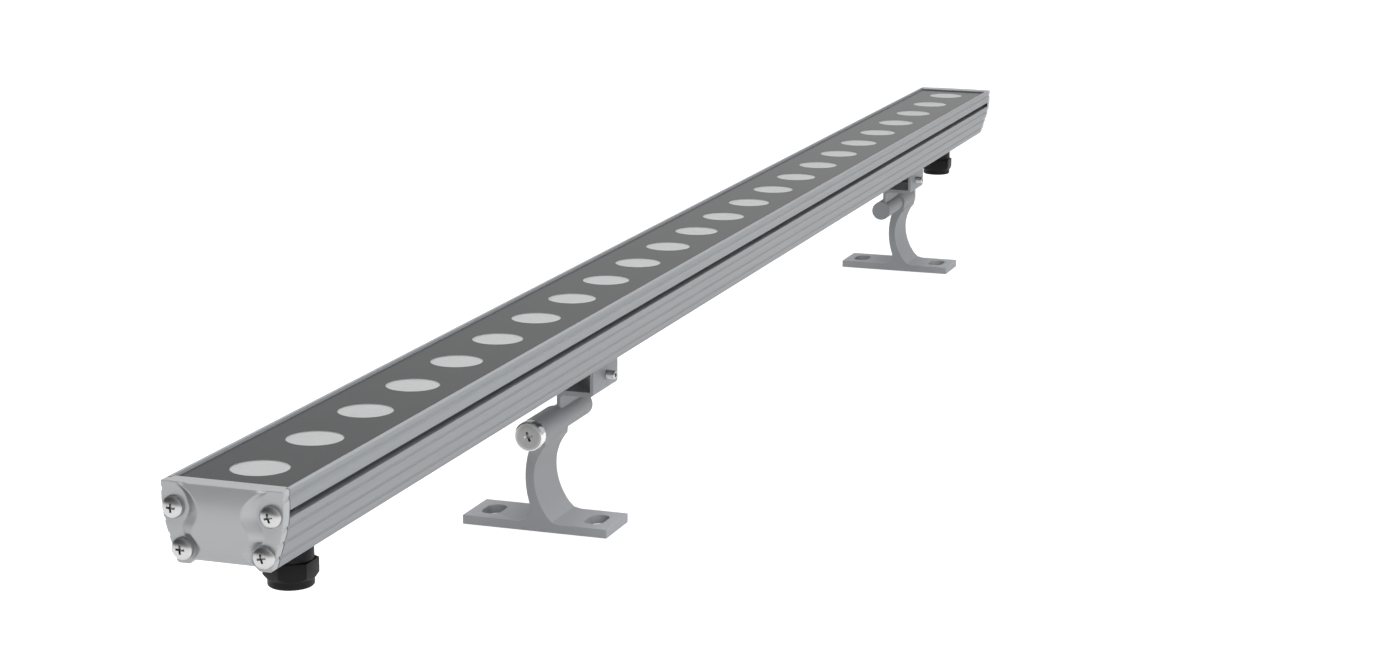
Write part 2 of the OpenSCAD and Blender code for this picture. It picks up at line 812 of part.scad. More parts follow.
module gland_locknut_far() {
    color("#222325") at_lamp() gland_places(1) gland_locknut_shape();
}

// The near bracket is drawn with its joint face in the plane x = 0: the foot lies on the -X side
// of it and the clamp on the +X side. The far bracket is its mirror image.
module near_bracket() {
    translate([near_x, 0, 0]) children();
}

module far_bracket() {
    translate([far_x, 0, 0]) mirror([1, 0, 0]) children();
}

// Clamp heights, in the lamp's own height
web_top = -web_drop;
web_low = web_top - web_t;
hook_low = lip_top + slide_gap;
hook_top = hook_low + hook_t;
knuckle_v = -pivot_drop;
leg_y = clamp_w / 2;
fillet_r = 2;

// Depth of the blind bore in the clamp's knuckle
pivot_deep = clamp_len + knuckle_out - knuckle_end_t;

// Channel with outward hooks, and a wall that runs down to the knuckle under its +Y leg
module clamp_2d() {
    translate([-leg_y, web_top]) square([clamp_wall, hook_top - web_top]);
    translate([leg_y - clamp_wall, knuckle_v]) square([clamp_wall, hook_top - knuckle_v]);
    translate([-leg_y - hook_reach, hook_low]) square([hook_reach + clamp_wall, hook_t]);
    translate([leg_y - clamp_wall, hook_low]) square([hook_reach + clamp_wall, hook_t]);
    polygon(concat(
        arc(-leg_y + fillet_r, web_low + fillet_r, fillet_r, 180, 270, 4),
        [[leg_y, web_low], [leg_y, web_top], [-leg_y, web_top]]
    ));
    polygon(concat(
        [[leg_y - clamp_wall, web_low]],
        arc(leg_y - clamp_wall - fillet_r, web_low - fillet_r, fillet_r, 90, 0, 4)
    ));
}

module clamp_shape() {
    at_lamp() difference() {
        union() {
            along(0, clamp_len) clamp_2d();
            bar_x(0, clamp_len + knuckle_out, pivot_y, knuckle_v, clamp_knuckle_r);
        }
        bar_x(-over, pivot_deep + over, pivot_y, knuckle_v, pivot_d / 2 + fit);
        translate([lock_x, 0, -lock_drop]) rotate([90, 0, 0]) cylinder(d = lock_d + 2 * fit, h = leg_y + over);
    }
}

module clamp_near() {
    color("darkgray") near_bracket() clamp_shape();
}

module clamp_far() {
    color("darkgray") far_bracket() clamp_shape();
}

// Screw that spreads the legs: its tip bears on the +Y leg, its end shows outside the -Y leg
module lock_screw_shape() {
    inner = leg_y - clamp_wall;
    hex_r = lock_d * 0.3;
    at_lamp() translate([lock_x, inner - fit, -lock_drop]) rotate([90, 0, 0]) difference() {
        cylinder(d = lock_d, h = inner + leg_y + lock_out - fit);
        translate([0, 0, inner + leg_y + lock_out - lock_d * 0.6]) cylinder(r = hex_r, h = lock_d, $fn = 6);
    }
}

module lock_screw_near() {
    color("gainsboro") near_bracket() lock_screw_shape();
}

module lock_screw_far() {
    color("gainsboro") far_bracket() lock_screw_shape();
}

// Foot section: a plate, a bowed neck and the knuckle. The neck bows towards +Y and is hollowed
// on its -Y side by two arcs that meet where it is thinnest.
neck_mid = pivot_z * 0.56;
neck_back = 0.7;
neck_in = foot_off - neck_back;
neck_out_r = 40;
neck_front = 3.3;
neck_out_y = foot_off + neck_front;
neck_up_r = 21.5;
neck_low_r = 28;
base_fillet = 6;

module foot_2d() {
    up_a = asin((pivot_z - knuckle_r * 0.75 - neck_mid) / neck_up_r);
    low_a = asin((neck_mid - foot_t - base_fillet * 0.45) / neck_low_r);
    low_y = neck_in - neck_low_r * (1 - cos(low_a));
    out_up_a = asin((pivot_z - knuckle_r - neck_mid) / neck_out_r);
    out_low_a = asin((neck_mid - foot_t - base_fillet) / neck_out_r);
    out_low_y = neck_out_y - neck_out_r * (1 - cos(out_low_a));
    polygon(concat(
        [[foot_len / 2, 0], [foot_len / 2, foot_t]],
        arc(out_low_y + base_fillet, foot_t + base_fillet, base_fillet, 270, 180),
        arc(neck_out_y - neck_out_r, neck_mid, neck_out_r, -out_low_a, out_up_a),
        [[foot_off + knuckle_r * 0.3, pivot_z], [foot_off - knuckle_r * 0.97, pivot_z - knuckle_r * 0.22]],
        arc(neck_in - neck_up_r, neck_mid, neck_up_r, up_a, 0),
        arc(neck_in - neck_low_r, neck_mid, neck_low_r, 0, -low_a),
        [[low_y - base_fillet * 0.35, foot_t + base_fillet * 0.12], [low_y - base_fillet * 0.9, foot_t]],
        [[-foot_len / 2, foot_t], [-foot_len / 2, 0]]
    ));
}

module slot_cut(y) {
    straight = slot_len - slot_w;
    translate([-foot_w / 2, y, -over]) {
        for (way = [-1, 1]) translate([way * straight / 2, 0, 0]) cylinder(d = slot_w, h = foot_t + 2 * over);
        translate([-straight / 2, -slot_w / 2, 0]) cube([straight, slot_w, foot_t + 2 * over]);
    }
}

module foot_shape() {
    difference() {
        union() {
            along(-foot_w, foot_w - side_gap) foot_2d();
            bar_x(-foot_w, foot_w - side_gap, foot_off, pivot_z, knuckle_r);
        }
        bar_x(-foot_w - over, foot_w + 2 * over, foot_off, pivot_z, pivot_d / 2 + fit);
        slot_cut(-slot_pitch / 2);
        slot_cut(slot_pitch / 2);
    }
}

module foot_near() {
    color("darkgray") near_bracket() foot_shape();
}

module foot_far() {
    color("darkgray") far_bracket() foot_shape();
}

// Pivot screw: its head bears on the foot, its shank runs through the foot into the clamp
module pivot_screw_shape() {
    shank = side_gap + foot_w + pivot_deep - edge_c;
    translate([-foot_w - side_gap, foot_off, pivot_z]) {
        rotate([0, 90, 0]) cylinder(d = pivot_d, h = shank);
        rotate([0, -90, 0]) difference() {
            union() {
                cylinder(d = head_d, h = head_t - edge_c);
                translate([0, 0, head_t - edge_c]) cylinder(r1 = head_d / 2, r2 = head_d / 2 - edge_c, h = edge_c);
            }
            cross_cut(head_d * 0.8, head_t);
        }
    }
}

module pivot_screw_near() {
    color("gainsboro") near_bracket() pivot_screw_shape();
}

module pivot_screw_far() {
    color("gainsboro") far_bracket() pivot_screw_shape();
}

housing();
end_cap_near();
end_cap_far();
cap_gasket_near();
cap_gasket_far();
cap_screws_near();
cap_screws_far();
cover_glass();
glass_seal();
mask_plate();
lenses_near();
lenses_far();
led_chips_near();
led_chips_far();
led_board_near();
led_board_far();
board_screws();
board_link();
lead_pins();
driver_board();
driver_chip();
driver_coils();
driver_capacitors();
insulation_sheet();
gland_body_near();
gland_body_far();
gland_nut_near();
gland_nut_far();
gland_seal_near();
gland_seal_far();
gland_oring_near();
gland_oring_far();
gland_locknut_near();
gland_locknut_far();
clamp_near();
clamp_far();
lock_screw_near();
lock_screw_far();
foot_near();
foot_far();
pivot_screw_near();
pivot_screw_far();
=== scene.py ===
import bpy
import bmesh
import json
import math
from mathutils import Euler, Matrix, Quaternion, Vector

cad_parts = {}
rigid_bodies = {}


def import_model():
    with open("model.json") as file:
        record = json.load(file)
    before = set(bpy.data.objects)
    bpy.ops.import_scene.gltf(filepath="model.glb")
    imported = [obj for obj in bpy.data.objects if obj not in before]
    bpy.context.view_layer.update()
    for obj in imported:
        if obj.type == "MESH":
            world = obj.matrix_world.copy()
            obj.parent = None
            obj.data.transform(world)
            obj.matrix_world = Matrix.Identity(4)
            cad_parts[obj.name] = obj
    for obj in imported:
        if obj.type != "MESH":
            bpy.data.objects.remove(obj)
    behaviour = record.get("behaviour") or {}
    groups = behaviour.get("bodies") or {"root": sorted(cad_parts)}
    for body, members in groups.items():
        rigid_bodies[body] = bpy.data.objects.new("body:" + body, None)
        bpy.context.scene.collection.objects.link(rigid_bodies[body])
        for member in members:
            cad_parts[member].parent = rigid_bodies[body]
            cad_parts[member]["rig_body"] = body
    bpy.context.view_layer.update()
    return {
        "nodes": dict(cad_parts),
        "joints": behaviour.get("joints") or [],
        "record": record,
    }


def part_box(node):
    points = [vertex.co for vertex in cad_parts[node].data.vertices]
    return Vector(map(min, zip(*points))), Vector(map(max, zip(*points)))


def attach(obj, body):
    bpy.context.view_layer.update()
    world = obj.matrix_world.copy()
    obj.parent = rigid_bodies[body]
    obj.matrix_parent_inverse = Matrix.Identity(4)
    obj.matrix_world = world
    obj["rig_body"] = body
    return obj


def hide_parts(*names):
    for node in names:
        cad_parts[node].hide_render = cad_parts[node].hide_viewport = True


# Looks of a linear wall washer light: finished copies of its CAD pieces, materials, light and camera

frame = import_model()
nodes = frame["nodes"]
joints = {joint["name"]: joint for joint in frame["joints"]}
slot_of = {part["node"]: part["material_slot"] for part in frame["record"]["subparts"]}

MM = 0.001
ENDS = {"near": -1, "far": 1}
LIGHT_UNITS = 24


# Sizes read from the frame, in metres

def to_micron(length):
    """A length of the frame's mesh, freed of the rounding of its short numbers."""
    return round(length, 6)


# Wall of an end cap, from its gasket out to the face of its ears
CAP_WALL = 4 * MM
gasket_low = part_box("cap_gasket_near")[0]
cap_low, cap_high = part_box("end_cap_near")
glass_low, glass_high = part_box("cover_glass")
chip_low, chip_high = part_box("led_chips_near")
lock_low, lock_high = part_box("lock_screw_near")
lamp_y = (cap_low.y + cap_high.y) / 2
lamp_low = cap_low.z
ear_face = to_micron(CAP_WALL - gasket_low.x)
first_light = to_micron(chip_low.x + (chip_high.y - chip_low.y) / 2)
light_pitch = -2 * first_light / (LIGHT_UNITS - 1)
light_places = [(first_light + light_pitch * index, lamp_y, glass_high.z) for index in range(LIGHT_UNITS)]


# Working on pieces

def clear_selection():
    if bpy.context.object and bpy.context.object.mode != "OBJECT":
        bpy.ops.object.mode_set(mode="OBJECT")
    bpy.ops.object.select_all(action="DESELECT")


def take(piece):
    """Makes a piece the only one selected."""
    clear_selection()
    piece.select_set(True)
    bpy.context.view_layer.objects.active = piece


def open_mesh(piece, mode="FACE"):
    """Opens a piece for mesh work with nothing selected."""
    take(piece)
    bpy.ops.object.mode_set(mode="EDIT")
    bpy.ops.mesh.select_mode(type=mode)
    bpy.ops.mesh.select_all(action="DESELECT")


def close_mesh():
    bpy.ops.object.mode_set(mode="OBJECT")


def pick_faces(piece, wanted):
    """Selects the faces whose normal the test accepts."""
    mesh = bmesh.from_edit_mesh(piece.data)
    for face in mesh.faces:
        if wanted(face.normal):
            face.select_set(True)
    bmesh.update_edit_mesh(piece.data)


def modify(piece, kind, **settings):
    """Adds a modifier to a piece and applies it."""
    take(piece)
    modifier = piece.modifiers.new(kind.lower(), kind)
    for key, value in settings.items():
        setattr(modifier, key, value)
    bpy.ops.object.modifier_apply(modifier=modifier.name)


def smooth(piece, degrees):
    """Shades a piece smooth except over edges sharper than an angle."""
    take(piece)
    bpy.ops.object.shade_smooth_by_angle(angle=math.radians(degrees))


def settle(piece):
    """Moves a piece's place into its mesh."""
    take(piece)
    bpy.ops.object.transform_apply(location=True, rotation=True, scale=True)


def rotate(piece, x=0, y=0, z=0):
    """Turns a piece by degrees about one axis through its origin, and settles it."""
    piece.rotation_euler = (math.radians(x), math.radians(y), math.radians(z))
    settle(piece)


def twin_of(piece, name, place):
    """A copy of a piece with its own mesh, carried to another place."""
    other = piece.copy()
    other.data = piece.data.copy()
    other.name = name
    bpy.context.scene.collection.objects.link(other)
    other.location = place
    settle(other)
    return other


def join(pieces, name):
    """Makes one piece of several."""
    clear_selection()
    for piece in pieces:
        piece.select_set(True)
    bpy.context.view_layer.objects.active = pieces[0]
    bpy.ops.object.join()
    pieces[0].name = name
    return pieces[0]


def turned(name, profile, steps=48):
    """A round piece about Z, spun from (radius, height) pairs in millimetres."""
    clear_selection()
    bpy.ops.mesh.primitive_plane_add(size=MM, location=(0, 0, 0))
    piece = bpy.context.object
    piece.name = name
    open_mesh(piece, "VERT")
    bpy.ops.mesh.select_all(action="SELECT")
    bpy.ops.mesh.merge(type="CENTER")
    bpy.ops.transform.translate(value=(profile[0][0] * MM, 0, profile[0][1] * MM))
    for (r0, h0), (r1, h1) in zip(profile, profile[1:]):
        step = ((r1 - r0) * MM, 0, (h1 - h0) * MM)
        bpy.ops.mesh.extrude_vertices_move(TRANSFORM_OT_translate={"value": step})
    bpy.ops.mesh.select_all(action="SELECT")
    bpy.ops.mesh.spin(steps=steps, angle=2 * math.pi, center=(0, 0, 0), axis=(0, 0, 1))
    close_mesh()
    open_mesh(piece, "VERT")
    bpy.ops.mesh.select_all(action="SELECT")
    bpy.ops.mesh.remove_doubles(threshold=0.001 * MM)
    bpy.ops.mesh.normals_make_consistent(inside=False)
    close_mesh()
    return piece


def cut(piece, tool):
    """Cuts a tool's shape out of a piece."""
    modify(piece, "BOOLEAN", object=tool, operation="DIFFERENCE", solver="EXACT")
    bpy.data.objects.remove(tool)


def cross_tool(size, width, top, depth, turn=0):
    """A cross that tapers downwards and cuts a screw's recess, in millimetres and degrees."""
    above_screw = 1
    taper = (0.45, 0.6, 1)
    arms = []
    for quarter in (0, 90):
        clear_selection()
        middle = top - depth / 2 + above_screw / 2
        bpy.ops.mesh.primitive_cube_add(size=1, location=(0, 0, middle * MM))
        arm = bpy.context.object
        arm.scale = (size * MM, width * MM, (depth + above_screw) * MM)
        settle(arm)
        open_mesh(arm)
        pick_faces(arm, lambda normal: normal.z < -0.9)
        bpy.ops.transform.resize(value=taper, center_override=(0, 0, 0))
        close_mesh()
        rotate(arm, z=quarter + turn)
        arms.append(arm)
    modify(arms[0], "BOOLEAN", object=arms[1], operation="UNION", solver="EXACT")
    bpy.data.objects.remove(arms[1])
    return arms[0]


def opened_copy(node):
    """A merged copy of a CAD piece, open for mesh work with all of it selected."""
    piece = bpy.data.objects.new(node + "_finished", nodes[node].data.copy())
    bpy.context.scene.collection.objects.link(piece)
    open_mesh(piece, "VERT")
    bpy.ops.mesh.select_all(action="SELECT")
    bpy.ops.mesh.remove_doubles(threshold=0.002 * MM)
    return piece


def finished_copy(node, width):
    """A copy of a CAD piece with its sharp edges rounded, by a width in millimetres."""
    piece = opened_copy(node)
    bpy.ops.mesh.dissolve_limited(angle_limit=math.radians(0.6))
    close_mesh()
    modify(piece, "BEVEL", width=width * MM, segments=2, limit_method="ANGLE",
           angle_limit=math.radians(30), use_clamp_overlap=True, harden_normals=False)
    smooth(piece, 24)
    return piece


def cast_copy(node, voxel, passes):
    """A copy of a CAD piece with the soft edges and corners of a casting."""
    piece = opened_copy(node)
    close_mesh()
    modify(piece, "REMESH", mode="VOXEL", voxel_size=voxel * MM, adaptivity=0.0)
    modify(piece, "SMOOTH", factor=0.5, iterations=passes)
    smooth(piece, 60)
    return piece


# Finishes

class Wire:
    """A socket of a finish, used in sums like a number."""

    def __init__(self, finish, socket):
        self.finish = finish
        self.socket = socket

    def _sum(self, operation, first, second):
        return self.finish.node("ShaderNodeMath", {"operation": operation}, {0: first, 1: second})

    def __add__(self, other):
        return self._sum("ADD", self, other)

    def __radd__(self, other):
        return self._sum("ADD", other, self)

    def __sub__(self, other):
        return self._sum("SUBTRACT", self, other)

    def __rsub__(self, other):
        return self._sum("SUBTRACT", other, self)

    def __mul__(self, other):
        return self._sum("MULTIPLY", self, other)

    def __rmul__(self, other):
        return self._sum("MULTIPLY", other, self)


class Finish:
    """A material whose pattern is worked out from the piece's own coordinates."""

    def __init__(self, name, **constants):
        self.material = bpy.data.materials.new(name)
        self.material.use_nodes = True
        self.tree = self.material.node_tree
        self.shader = self.tree.nodes["Principled BSDF"]
        self.output = self.tree.nodes["Material Output"]
        self.place = self.node("ShaderNodeTexCoord", output="Object")
        self.set(constants)

    def node(self, kind, settings=None, sockets=None, output=0):
        """Adds a node, and gives back one of its outputs."""
        made = self.tree.nodes.new(kind)
        for key, value in (settings or {}).items():
            setattr(made, key, value)
        for key, value in (sockets or {}).items():
            self.feed(made.inputs[key], value)
        return Wire(self, made.outputs[output])

    def feed(self, socket, value):
        """Gives an input socket a wire or a plain value."""
        if isinstance(value, Wire):
            self.tree.links.new(value.socket, socket)
        else:
            socket.default_value = value

    def set(self, values):
        """Feeds inputs of the shader by name."""
        for key, value in values.items():
            self.feed(self.shader.inputs[key], value)

    def grain(self, scale, detail=3.0, rough=0.55):
        """Noise on a scale per metre, which is one number or one for each axis."""
        stretch = scale if isinstance(scale, tuple) else (scale, scale, scale)
        placed = self.node("ShaderNodeMapping", None, {"Vector": self.place, "Scale": stretch})
        return self.node("ShaderNodeTexNoise", None,
                         {"Vector": placed, "Scale": 1.0, "Detail": detail, "Roughness": rough})

    def blend(self, amount, first, second):
        """Mixes two colours, each a wire or three numbers."""
        return self.node("ShaderNodeMix", {"data_type": "RGBA"},
                         {"Factor": amount, 6: rgb(first), 7: rgb(second)}, output=2)

    def relief(self, height, depth, strength):
        """Turns a pattern into bumps, whose depth is in millimetres."""
        self.set({"Normal": self.node("ShaderNodeBump", None,
                                      {"Height": height, "Distance": depth * MM, "Strength": strength})})


def rgb(colour):
    return colour if isinstance(colour, Wire) else (*colour, 1.0)


def extruded(name, light, dark, metal, rough):
    """Satin anodised aluminium with faint die lines along X."""
    finish = Finish(name, **{"Metallic": metal, "Specular IOR Level": 0.3})
    lines = finish.grain((6, 900, 900), detail=4, rough=0.6)
    clouds = finish.grain((14, 60, 60), detail=2)
    specks = finish.grain(2600, detail=1)
    mixed = lines * 0.55 + clouds * 0.3 + specks * 0.15
    finish.set({"Base Color": finish.blend(mixed, dark, light),
                "Roughness": rough + (lines - 0.5) * 0.16 + (specks - 0.5) * 0.1})
    finish.relief(lines * 0.7 + specks * 0.3, depth=0.02, strength=0.5)
    return finish


def cast(name, light, dark, metal, rough):
    """Satin lacquer over a fine casting."""
    finish = Finish(name, **{"Metallic": metal, "Specular IOR Level": 0.35})
    sand = finish.grain(1500, detail=3)
    clouds = finish.grain(70, detail=3)
    finish.set({"Base Color": finish.blend(clouds * 0.6 + sand * 0.4, dark, light),
                "Roughness": rough + (clouds - 0.5) * 0.12 + (sand - 0.5) * 0.08})
    finish.relief(sand, depth=0.03, strength=0.35)
    return finish


def polished(name, light, dark, rough):
    """Bright metal with small polishing marks."""
    finish = Finish(name, Metallic=1.0)
    marks = finish.grain(1200, detail=2)
    clouds = finish.grain(220, detail=2)
    finish.set({"Base Color": finish.blend(clouds, dark, light), "Roughness": rough + (marks - 0.5) * 0.08})
    finish.relief(marks, depth=0.01, strength=0.1)
    return finish


def bright_screw(name):
    """Polished steel whose turned end faces are rougher than its rounded sides, with painted shade and light:
    the end faces are coloured darker and the rounded sides lighter.
    """
    finish = Finish(name, Metallic=1.0)
    marks = finish.grain(1200, detail=2)
    clouds = finish.grain(220, detail=2)
    normal = finish.node("ShaderNodeNewGeometry", output="Normal")
    along = finish.node("ShaderNodeVectorMath", {"operation": "DOT_PRODUCT"},
                        {0: normal, 1: (1, 0, 0)}, output="Value")
    face = finish.node("ShaderNodeMapRange", None,
                       {"Value": along * along, "From Min": 0.95, "From Max": 0.99})
    # Painted shade and light: end faces along X get a dark steel colour, the rounded sides a light one
    shaded_end_face_colour = finish.blend(clouds, (0.25, 0.25, 0.252), (0.31, 0.31, 0.312))
    side = finish.blend(clouds, (0.66, 0.66, 0.665), (0.74, 0.74, 0.745))
    finish.set({"Base Color": finish.blend(face, side, shaded_end_face_colour),
                "Roughness": 0.12 + face * 0.2 + (marks - 0.5) * 0.06})
    finish.relief(marks, depth=0.01, strength=0.3)
    return finish


def moulded(name, light, dark, rough, depth=0.02, scale=1800, **constants):
    """Plastic, rubber or lacquer with a fine even texture."""
    finish = Finish(name, **constants)
    texture = finish.grain(scale, detail=2)
    clouds = finish.grain(90, detail=2)
    finish.set({"Base Color": finish.blend(clouds, dark, light), "Roughness": rough + (texture - 0.5) * 0.16})
    finish.relief(texture, depth=depth, strength=0.4)
    return finish


def printed_glass(name):
    """Dark print under a hard gloss, with a little unevenness."""
    finish = Finish(name, IOR=1.33)
    haze = finish.grain((30, 120, 120), detail=2)
    fine = finish.grain(1600, detail=1)
    finish.set({"Base Color": finish.blend(haze, (0.018, 0.019, 0.020), (0.026, 0.027, 0.028)),
                "Roughness": 0.12 + (haze - 0.5) * 0.06 + (fine - 0.5) * 0.04})
    return finish


def etched(name, light, dark, rough):
    """A matt surface that spreads light, with a fine etched grain."""
    finish = Finish(name, IOR=1.45)
    fine = finish.grain(2200, detail=2)
    clouds = finish.grain(120, detail=2)
    finish.set({"Base Color": finish.blend(clouds * 0.7 + fine * 0.3, dark, light),
                "Roughness": rough + (fine - 0.5) * 0.2})
    finish.relief(fine, depth=0.03, strength=0.4)
    return finish


def clear_glass(name):
    """Clear glass: see-through, with a gloss that grows at a low angle."""
    finish = Finish(name, IOR=1.45)
    haze = finish.grain((40, 160, 160), detail=2)
    finish.set({"Base Color": finish.blend(haze, (0.60, 0.61, 0.615), (0.66, 0.67, 0.675)),
                "Roughness": 0.02 + haze * 0.03})
    see_through = finish.node("ShaderNodeBsdfTransparent", None, {"Color": (0.93, 0.935, 0.935, 1)})
    gloss = finish.node("ShaderNodeFresnel", None, {"IOR": 1.45})
    mixed = finish.node("ShaderNodeMixShader", None, {"Fac": gloss * 0.85 + haze * 0.01, 1: see_through,
                                                      2: Wire(finish, finish.shader.outputs[0])})
    finish.feed(finish.output.inputs["Surface"], mixed)
    return finish


# Each has a name, a light and a dark tone, its share of metal if it is a satin metal, and a roughness
finishes = {
    "body_aluminium": extruded("extruded_body", (0.26, 0.27, 0.284), (0.232, 0.242, 0.256), 0.3, 0.42),
    "cap_aluminium": cast("cast_cap", (0.385, 0.395, 0.405), (0.35, 0.36, 0.37), 0.5, 0.32),
    "bracket_aluminium": extruded("extruded_bracket", (0.31, 0.32, 0.335), (0.265, 0.275, 0.29), 0.15, 0.5),
    "screw_steel": polished("polished_steel", (0.56, 0.56, 0.56), (0.50, 0.50, 0.50), 0.3),
    "cover_glass": clear_glass("clear_glass"),
    "mask": moulded("mask_lacquer", (0.030, 0.031, 0.034), (0.022, 0.023, 0.026), 0.4),
    "lens": etched("frosted_optics", (0.90, 0.90, 0.90), (0.80, 0.81, 0.81), 0.45),
    "chip": moulded("chip_phosphor", (0.85, 0.80, 0.40), (0.75, 0.68, 0.30), 0.25),
    "led_board": moulded("board_white", (0.86, 0.86, 0.85), (0.80, 0.80, 0.79), 0.45),
    "contact": polished("tinned_brass", (0.75, 0.62, 0.32), (0.65, 0.52, 0.26), 0.3),
    "driver_board": moulded("board_green", (0.05, 0.24, 0.12), (0.03, 0.18, 0.09), 0.4),
    "driver_black": moulded("driver_case", (0.03, 0.03, 0.032), (0.02, 0.02, 0.022), 0.5),
    "driver_coil": moulded("coil_winding", (0.45, 0.26, 0.12), (0.30, 0.15, 0.06), 0.4),
    "capacitor": moulded("capacitor_sleeve", (0.22, 0.36, 0.50), (0.16, 0.28, 0.42), 0.35),
    "sheet": moulded("insulation_film", (0.80, 0.72, 0.45), (0.72, 0.64, 0.38), 0.35),
    "rubber": moulded("seal_rubber", (0.030, 0.030, 0.031), (0.018, 0.018, 0.019), 0.65,
                      depth=0.04, scale=1200),
    "nylon": moulded("gland_nylon", (0.008, 0.008, 0.0085), (0.005, 0.005, 0.0055), 0.5,
                     depth=0.03, scale=1500, **{"Specular IOR Level": 0.15}),
}


def dress(piece, slot, finish=None):
    """Gives a piece its finish: the one given, or that of the record's slot that it stands for."""
    piece.data.materials.clear()
    piece.data.materials.append((finish or finishes[slot]).material)


def stand_for(piece, node, finish=None):
    """A finished piece takes the place of a CAD node on the same body."""
    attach(piece, nodes[node]["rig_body"])
    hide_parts(node)
    dress(piece, slot_of[node], finish)


for name, node in nodes.items():
    dress(node, slot_of[name])

# End caps. The numbers are millimetres, sideways from a cap's middle and up from its bottom edge.

# An ear is a circle: the side and rise of its middle, and its radius
UPPER_EAR, LOWER_EAR = (21.3, 19.4, 9.0), (14.95, 5.3, 4.6)
# Between two ears, at the waist of the cap's outline, the crown reaches out furthest
WAIST_SIDE, WAIST_RISE = 15.0, 11.8
# Clear circle round a lower screw's head, and how much steeper the crown rises from it
HEAD_ROOM, HEAD_STEEP = 4.3, 1.6
# Height of the crown, radius of its arch, rise of its highest line, run of its flanks per height
CROWN_HIGH, CROWN_RADIUS, CROWN_LINE, FLANK = 2.7, 41.0, 16.0, 1.75
# Roundings where the flank's foot meets the head's circle, and where a flank meets arch and ear
HEAD_ROUNDING, FLANK_ROUNDING = 0.8, 0.3
# The stretch that is formed: its lower and upper end, its fading at both, and its reach sideways
FORM_LOW, FORM_TOP, FORM_FADE, FORM_SIDE = 1.65, 28.1, 0.6, 17.5
# Points that lie on the outer face: how far they face out, and how far under the ears they may lie
FACING_OUT, FACE_LEEWAY = 0.3, 0.03


def soft_least(first, second, reach):
    """The smaller of two values, rounded where they meet."""
    share = max(reach - abs(first - second), 0) / reach
    return min(first, second) - share * share * reach / 4


def flank_foot(rise):
    """How far out the foot of a flank runs: round both ears, and in one curve from ear to ear."""
    for (ear_side, ear_rise, radius), past in ((UPPER_EAR, 1), (LOWER_EAR, -1)):
        if (rise - ear_rise) * past >= 0:
            return ear_side - math.sqrt(max(radius ** 2 - (rise - ear_rise) ** 2, 0))
        if (rise - WAIST_RISE) * past >= 0:
            share = (1 + math.cos(math.pi * (rise - WAIST_RISE) / (ear_rise - WAIST_RISE))) / 2
            return ear_side - radius + (WAIST_SIDE - ear_side + radius) * share


def crown_height(side, rise):
    """Height of a cap's crown above its ears, flanks included."""
    arch = CROWN_HIGH - CROWN_RADIUS + math.sqrt(CROWN_RADIUS ** 2 - (rise - CROWN_LINE) ** 2)
    past_head = (math.hypot(side - LOWER_EAR[0], rise - LOWER_EAR[1]) - HEAD_ROOM) * HEAD_STEEP
    room = soft_least(flank_foot(rise) - side, past_head, HEAD_ROUNDING)
    height = soft_least(arch, room / FLANK, FLANK_ROUNDING)
    return -soft_least(0, -height, FLANK_ROUNDING)


def form_crown(cap):
    """Moves the outer face of the near cap to the height of the crown's formula."""
    facing = [point.normal.x < -FACING_OUT for point in cap.data.vertices]
    for point, faces_out in zip(cap.data.vertices, facing):
        side = abs(point.co.y - lamp_y) / MM
        rise = (point.co.z - lamp_low) / MM
        amount = min(rise - FORM_LOW, FORM_TOP - rise) / FORM_FADE - 0.5
        on_face = faces_out and point.co.x < -ear_face + FACE_LEEWAY * MM
        if on_face and side < FORM_SIDE and amount > 0:
            target = -ear_face - crown_height(side, rise) * MM
            point.co.x += (target - point.co.x) * min(amount, 1)


near_cap = cast_copy("end_cap_near", voxel=0.18, passes=5)
form_crown(near_cap)
modify(near_cap, "DECIMATE", ratio=0.45)
smooth(near_cap, 60)
far_cap = twin_of(near_cap, "end_cap_far_finished", (0, 0, 0))
far_cap.location = (0, 2 * lamp_y, 0)
rotate(far_cap, z=180)
stand_for(near_cap, "end_cap_near")
stand_for(far_cap, "end_cap_far")

# Metalwork and glands with rounded edges, whose widths are in millimetres

stand_for(finished_copy("housing", 0.14), "housing")
for kind, width in {"foot": 0.35, "clamp": 0.22, "gland_body": 0.3, "gland_nut": 0.35}.items():
    for end in ENDS:
        stand_for(finished_copy(kind + "_" + end, width), kind + "_" + end)


# Outlines of screws, from the middle of the head down to the tip, in millimetres

def dome(radius, foot, top):
    """A pan head's dome: an ellipse, whose powers would both be 2, with slightly full shoulders."""
    power_out, power_up = 2.09, 1.97
    outline = []
    for reach in (0, 0.9, 1.8, 2.6, 3.2, 3.6, 3.82, radius):
        share = (1 - (reach / radius) ** power_out) ** (1 / power_up)
        outline.append((reach, round(foot + (top - foot) * share, 2)))
    return outline


def shank(radius, length):
    """A plain shank with a chamfered tip."""
    tip_long, tip_deep = 0.6, 0.5
    return [(radius, 0), (radius, tip_long - length), (radius - tip_deep, -length), (0, -length)]


# Cap screws: a dome over a washer face, with a cross recess

HEAD_RADIUS, HEAD_TOP = 3.9, 2.7
washer_face = [(HEAD_RADIUS, 0.42), (HEAD_RADIUS - 0.1, 0.3), (3.45, 0.26), (3.4, 0)]
cap_screw = turned("cap_screw", dome(HEAD_RADIUS, 1.0, HEAD_TOP) + washer_face + shank(1.7, 16))
cut(cap_screw, cross_tool(size=4.3, width=0.95, top=HEAD_TOP, depth=1.7))
smooth(cap_screw, 32)
rotate(cap_screw, y=-90)

